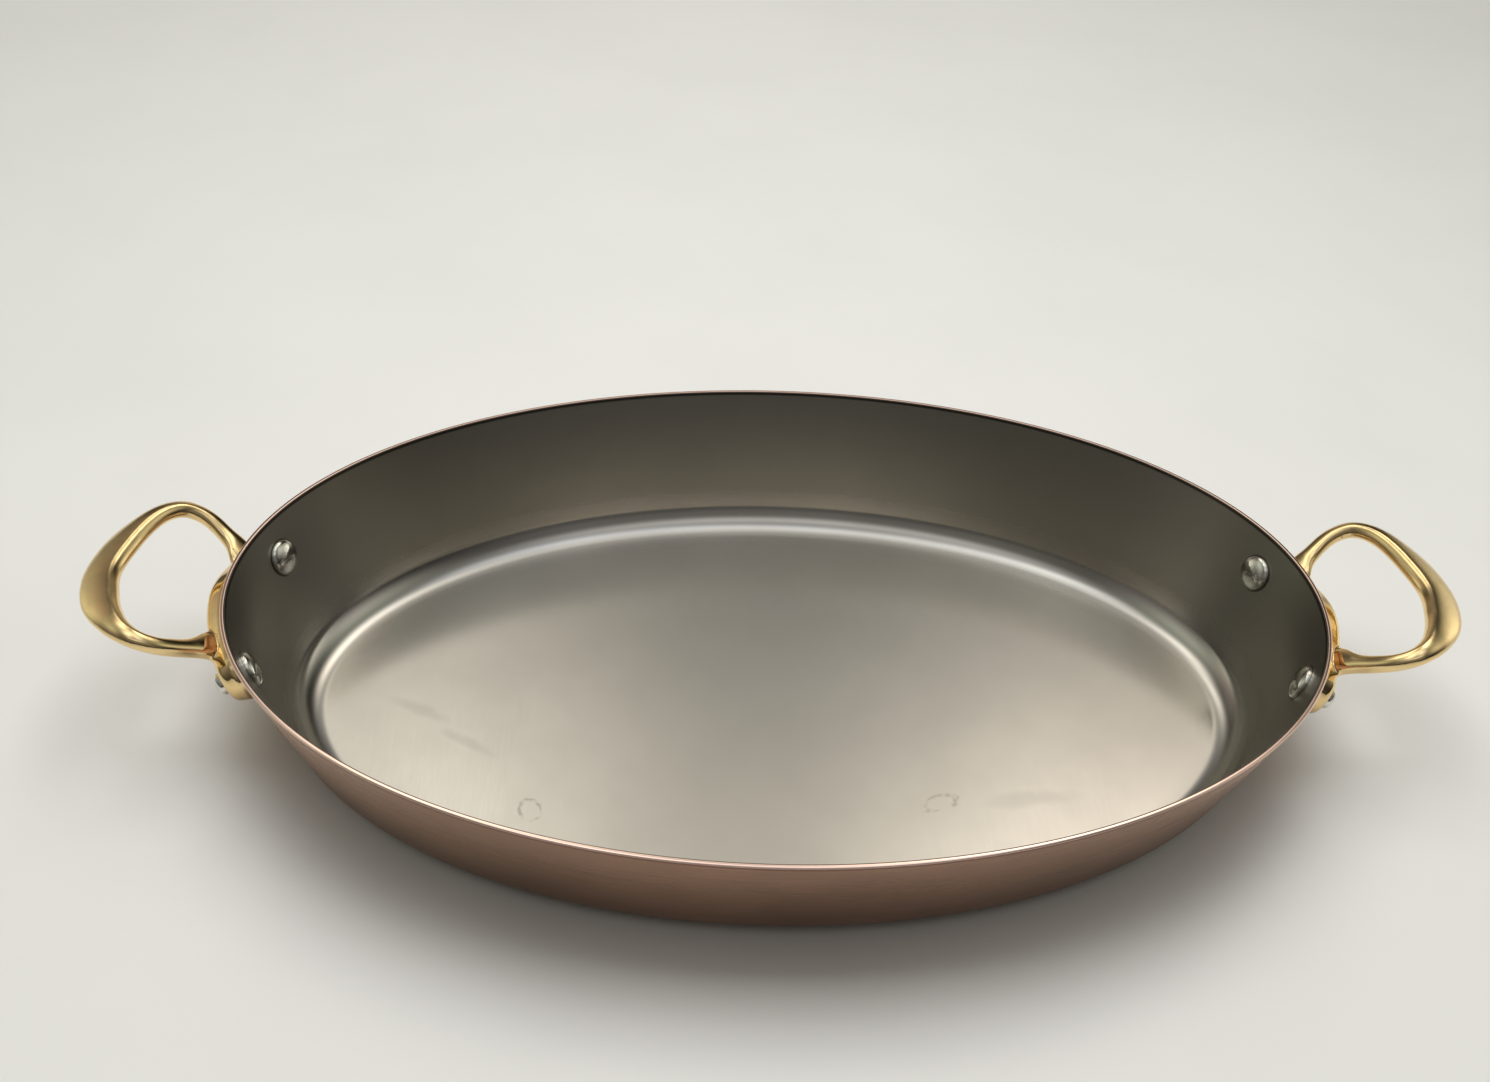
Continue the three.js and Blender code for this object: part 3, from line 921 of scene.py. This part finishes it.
def table_finish(finishes):
    """A pale smooth table with faint mottling."""
    material, tree = new_finish("pale_table")
    place = tree.place()
    cloud = tree.noise(place, 9, 4)
    fine = tree.noise(place, 320, 3)
    tone = tree.blend(cloud.step(0.3, 0.8), finishes.floor, darker(finishes.floor, 0.965))
    rough = 0.46 + 0.1 * (fine - 0.5)
    tree.surface(base=tone, rough=rough, metal=0.0, normal=tree.bump(fine, 0.00005, 0.3))
    return material


# Operators


# Steps round the eased edges of the rim, and from a rivet head's top to its edge.
RIM_STEPS, DOME_STEPS = 6, 13
# The table reaches this far each way. It lies a hair under the pan, so that no faces meet.
TABLE_HALF, TABLE_DROP = 8.0, 0.0001


def settings():
    """The wall, and the sizes and finishes that the operators share."""
    scene = bpy.context.scene
    return Oval(scene.gratin_pan), scene.gratin_handle, scene.gratin_rivet, scene.gratin_finish


def seat_piece(piece, node, material):
    """Puts a finished piece in the place of its CAD node."""
    dress(piece, material)
    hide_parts(node)
    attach(piece, "root")


class GRATIN_OT_copper_body(bpy.types.Operator):
    """Builds the copper body with its eased rim and rivet holes"""

    bl_idname = "gratin.copper_body"
    bl_label = "Copper Body"

    def execute(self, context):
        oval, handle, rivet, finishes = settings()
        pan = oval.pan
        outside = pan_face(oval, 0, oval.shoulder)
        inside = pan_face(oval, pan.copper, oval.shoulder)
        turn = np.linspace(0, math.pi / 2, RIM_STEPS + 1)[1:]

        def eased(edge, bevel):
            """A quarter round from a face's upper edge to the rim's flat top."""
            insets = edge + bevel * (1 - np.cos(turn))
            return np.stack([insets, oval.shoulder + pan.rim_round * np.sin(turn)], -1)

        outer_edge = eased(outside[-1][0], pan.rim_bevel)
        inner_edge = eased(inside[-1][0], -pan.inner_bevel)
        profile = np.concatenate([outside, outer_edge, inner_edge[::-1], inside[::-1]])
        piece = oval_shell("gratin_copper_body", oval, profile)
        cut_away(piece, rivet_holes(oval, handle, rivet))
        shade(piece, 35)
        seat_piece(piece, "copper_body", copper_finish(oval, finishes))
        return {"FINISHED"}


class GRATIN_OT_steel_lining(bpy.types.Operator):
    """Builds the satin steel lining inside the copper"""

    bl_idname = "gratin.steel_lining"
    bl_label = "Steel Lining"

    def execute(self, context):
        oval, handle, rivet, finishes = settings()
        pan = oval.pan
        top = pan.height - pan.setback
        outside = pan_face(oval, pan.copper + pan.bond, top)
        inside = pan_face(oval, oval.wall, top)
        profile = np.concatenate([outside, inside[::-1]])
        piece = oval_shell("gratin_steel_lining", oval, profile)
        cut_away(piece, rivet_holes(oval, handle, rivet))
        shade(piece, 35)
        material = lining_finish(oval, handle, rivet, finishes)
        seat_piece(piece, "steel_lining", material)
        return {"FINISHED"}


class GRATIN_OT_handles(bpy.types.Operator):
    """Casts the two bronze loop handles and drills them"""

    bl_idname = "gratin.handles"
    bl_label = "Handles"

    def execute(self, context):
        oval, handle, rivet, finishes = settings()
        piece = cast_handle(oval, handle)
        cut_away(piece, rivet_holes(oval, handle, rivet))
        shade(piece, 50)
        piece.name = "gratin_right_handle"
        left = turned_round("gratin_left_handle", piece)
        material = bronze_finish(oval, finishes)
        seat_piece(piece, "right_handle", material)
        seat_piece(left, "left_handle", material)
        return {"FINISHED"}


class GRATIN_OT_rivets(bpy.types.Operator):
    """Sets the four domed steel rivets"""

    bl_idname = "gratin.rivets"
    bl_label = "Rivets"

    def execute(self, context):
        oval, handle, rivet, finishes = settings()
        material = rivet_finish(finishes)
        inner_seat = -oval.wall - handle.seat
        outer_seat = handle.seat * 2 + handle.plate
        turn = np.linspace(math.pi / 2, 0, DOME_STEPS + 1)

        def dome(radius, seat, height, edge, side):
            """[radius, outside] pairs from a domed head's top to its edge."""
            rise = edge + (height - edge) * np.sin(turn)
            return [(radius * math.cos(t), seat + side * r) for t, r in zip(turn, rise)][1:]

        inner, outer, shank = rivet.inner_head / 2, rivet.outer_head / 2, rivet.shank / 2
        inside = dome(inner, inner_seat, rivet.inner_height, rivet.inner_edge, -1)
        outside = dome(outer, outer_seat, rivet.outer_height, rivet.outer_edge, 1)
        profile = inside + [(inner, inner_seat), (shank, inner_seat)]
        profile += [(shank, outer_seat), (outer, outer_seat)] + outside[::-1]
        for name, (along, side) in rivet_places(handle).items():
            rings = rivet_turned(oval, handle, along, profile)
            vertices, faces = closed_skin(rings)
            piece = add_mesh("gratin_" + name, vertices * [side, side, 1], faces, 45)
            seat_piece(piece, name, material)
        return {"FINISHED"}


class GRATIN_OT_stage(bpy.types.Operator):
    """Sets the pale table, the soft light and the camera"""

    bl_idname = "gratin.stage"
    bl_label = "Stage"

    def execute(self, context):
        scene = context.scene
        stage, finishes = scene.gratin_stage, scene.gratin_finish
        corners = [
            (x * TABLE_HALF, y * TABLE_HALF, -TABLE_DROP)
            for x, y in ((-1, -1), (1, -1), (1, 1), (-1, 1))
        ]
        table = add_mesh("table", corners, [(0, 1, 2, 3)])
        dress(table, table_finish(finishes))
        soft_sky(stage)
        overhead(stage)
        scene.camera = photo_camera(stage)
        scene.view_settings.view_transform = "Standard"
        return {"FINISHED"}


# Soft patches of light: [turn from behind the pan, elevation, spread] in degrees, and a tone.
SKY_PATCHES = [
    (75, 45, 13, (0.31, 0.34, 0.27)),
    (-75, 45, 13, (0.37, 0.41, 0.33)),
    (-50, 25, 12, (0.24, 0.18, 0.16)),
    (80, 25, 12, (0.26, 0.24, 0.23)),
    (-80, 25, 12, (0.07, 0.07, 0.06)),
    (0, 68, 14, (0.11, 0.11, 0.10)),
    (0, 5, 12, (0.52, 0.45, 0.36)),
    (60, 5, 12, (1.31, 1.28, 1.09)),
    (-60, 5, 12, (0.76, 0.78, 0.62)),
    (180, 15, 15, (0.07, 0.07, 0.07)),
    (145, 15, 15, (0.07, 0.07, 0.07)),
    (215, 15, 15, (0.06, 0.06, 0.05)),
    (250, 15, 15, (0.14, 0.13, 0.12)),
    (-33, 30, 6, (0.11, 0.11, 0.10)),
    (-11, 30, 6, (0.04, 0.04, 0.04)),
    (0, 30, 6, (0.10, 0.09, 0.08)),
    (-11, 40, 6, (0.07, 0.07, 0.06)),
    (11, 40, 6, (0.17, 0.18, 0.18)),
    (-12, 50, 6, (1.45, 1.39, 1.23)),
    (12, 50, 6, (0.17, 0.18, 0.16)),
    (24, 50, 6, (2.14, 1.95, 1.68)),
    (-36, 60, 7, (1.86, 1.81, 1.64)),
    (36, 60, 7, (1.79, 1.74, 1.61)),
    (0, 78, 8, (0.76, 0.76, 0.73)),
    (90, 78, 8, (1.01, 1.06, 1.11)),
    (-90, 78, 8, (1.48, 1.51, 1.49)),
    (180, 62, 9, (0.55, 0.55, 0.54)),
    (145, 62, 9, (0.55, 0.55, 0.54)),
    (215, 62, 9, (0.55, 0.55, 0.54)),
    (180, 35, 11, (0.15, 0.145, 0.135)),
    (150, 35, 11, (0.15, 0.145, 0.135)),
    (210, 35, 11, (0.15, 0.145, 0.135)),
    (95, 36, 14, (0.32, 0.31, 0.28)),
    (-95, 36, 14, (0.30, 0.29, 0.26)),
    (-13, 43, 6, (0.36, 0.34, 0.30)),
]
# Lamps over the table: a place, and an energy in watts. Their length and width follow.
LAMPS = [
    ((0, 0.30, 0.95), 2.2),
    ((0, -0.02, 1.00), 2.4),
    ((0, 0.85, 0.60), 0.5),
]
LAMP_SIZE = (0.7, 0.35)


def soft_sky(stage):
    """A soft tent of light, made of patches that run into each other."""
    world = bpy.data.worlds.new("soft_tent")
    bpy.context.scene.world = world
    tree = Tree(world)
    way = tree.node("ShaderNodeTexCoord", output="Generated")
    total = (0, 0, 0)
    for turn, rise, spread, tone in SKY_PATCHES:
        turn, rise, spread = math.radians(turn), math.radians(rise), math.radians(spread)
        middle = (
            math.sin(turn) * math.cos(rise), math.cos(turn) * math.cos(rise), math.sin(rise)
        )
        near = tree.node(
            "ShaderNodeVectorMath", {"operation": "DOT_PRODUCT"}, {0: way, 1: middle}, "Value"
        )
        strength = near.math("MAXIMUM", near, 0.0) ** (1 / spread**2)
        total = tree.added(total, tree.scaled(tone, strength))
    shader = tree.node("ShaderNodeBackground", values={"Color": total, "Strength": stage.sky})
    tree.node("ShaderNodeOutputWorld", values={"Surface": shader})


def overhead(stage):
    """Large soft lamps over the table, which neither the camera nor the metal sees."""
    for place, energy in LAMPS:
        lamp = bpy.data.lights.new("overhead", "AREA")
        lamp.shape = "RECTANGLE"
        lamp.size, lamp.size_y = LAMP_SIZE
        lamp.energy = energy * stage.key
        holder = bpy.data.objects.new("overhead", lamp)
        holder.location = place
        holder.rotation_euler = Vector(place).to_track_quat("Z", "Y").to_euler()
        holder.visible_camera = False
        holder.visible_glossy = False
        bpy.context.scene.collection.objects.link(holder)


def photo_camera(stage):
    """A camera where the photograph's was."""
    yaw, rise = stage.turn, stage.elevation
    away = np.array(
        [math.sin(yaw) * math.cos(rise), -math.cos(yaw) * math.cos(rise), math.sin(rise)]
    )
    right = np.cross(-away, [0, 0, 1])
    right /= np.linalg.norm(right)
    up = np.cross(right, -away)
    cos, sin = math.cos(stage.roll), math.sin(stage.roll)
    turned = np.eye(4)
    turned[:3, 0] = right * cos + up * sin
    turned[:3, 1] = up * cos - right * sin
    turned[:3, 2] = away
    turned[:3, 3] = np.array(stage.aim) + away * stage.distance
    lens = bpy.data.cameras.new("photo_camera")
    lens.sensor_fit = "HORIZONTAL"
    lens.sensor_width = 36
    lens.lens = stage.focus / FRAME_WIDTH * lens.sensor_width
    lens.clip_start = 0.01
    camera = bpy.data.objects.new("photo_camera", lens)
    camera.matrix_world = Matrix(turned.tolist())
    bpy.context.scene.collection.objects.link(camera)
    return camera


class GRATIN_PT_panel(bpy.types.Panel):
    """Lists the pan's pieces and their sizes"""

    bl_label = "Gratin Pan"
    bl_idname = "GRATIN_PT_panel"
    bl_space_type = "VIEW_3D"
    bl_region_type = "UI"
    bl_category = "Gratin Pan"

    def draw(self, context):
        layout = self.layout
        for operator in OPERATORS:
            layout.operator(operator.bl_idname)
        for name in SETTINGS:
            group = getattr(context.scene, name)
            box = layout.box()
            for prop in group.bl_rna.properties:
                if not prop.is_readonly and prop.identifier != "name":
                    box.prop(group, prop.identifier)


SETTINGS = {
    "gratin_pan": GratinPanSizes,
    "gratin_handle": GratinHandleSizes,
    "gratin_rivet": GratinRivetSizes,
    "gratin_finish": GratinFinishes,
    "gratin_stage": GratinStageSizes,
}
OPERATORS = [
    GRATIN_OT_stage,
    GRATIN_OT_copper_body,
    GRATIN_OT_steel_lining,
    GRATIN_OT_handles,
    GRATIN_OT_rivets,
]
CLASSES = [*SETTINGS.values(), *OPERATORS, GRATIN_PT_panel]


def register():
    """Adds the add-on's classes, and its settings to each scene."""
    for cls in CLASSES:
        bpy.utils.register_class(cls)
    for name, group in SETTINGS.items():
        setattr(bpy.types.Scene, name, PointerProperty(type=group))


def unregister():
    """Takes away what register added."""
    for name in SETTINGS:
        delattr(bpy.types.Scene, name)
    for cls in reversed(CLASSES):
        bpy.utils.unregister_class(cls)


def main():
    """Builds every piece and the stage."""
    register()
    for operator in OPERATORS:
        group, name = operator.bl_idname.split(".")
        getattr(getattr(bpy.ops, group), name)()


if __name__ == "__main__":
    main()
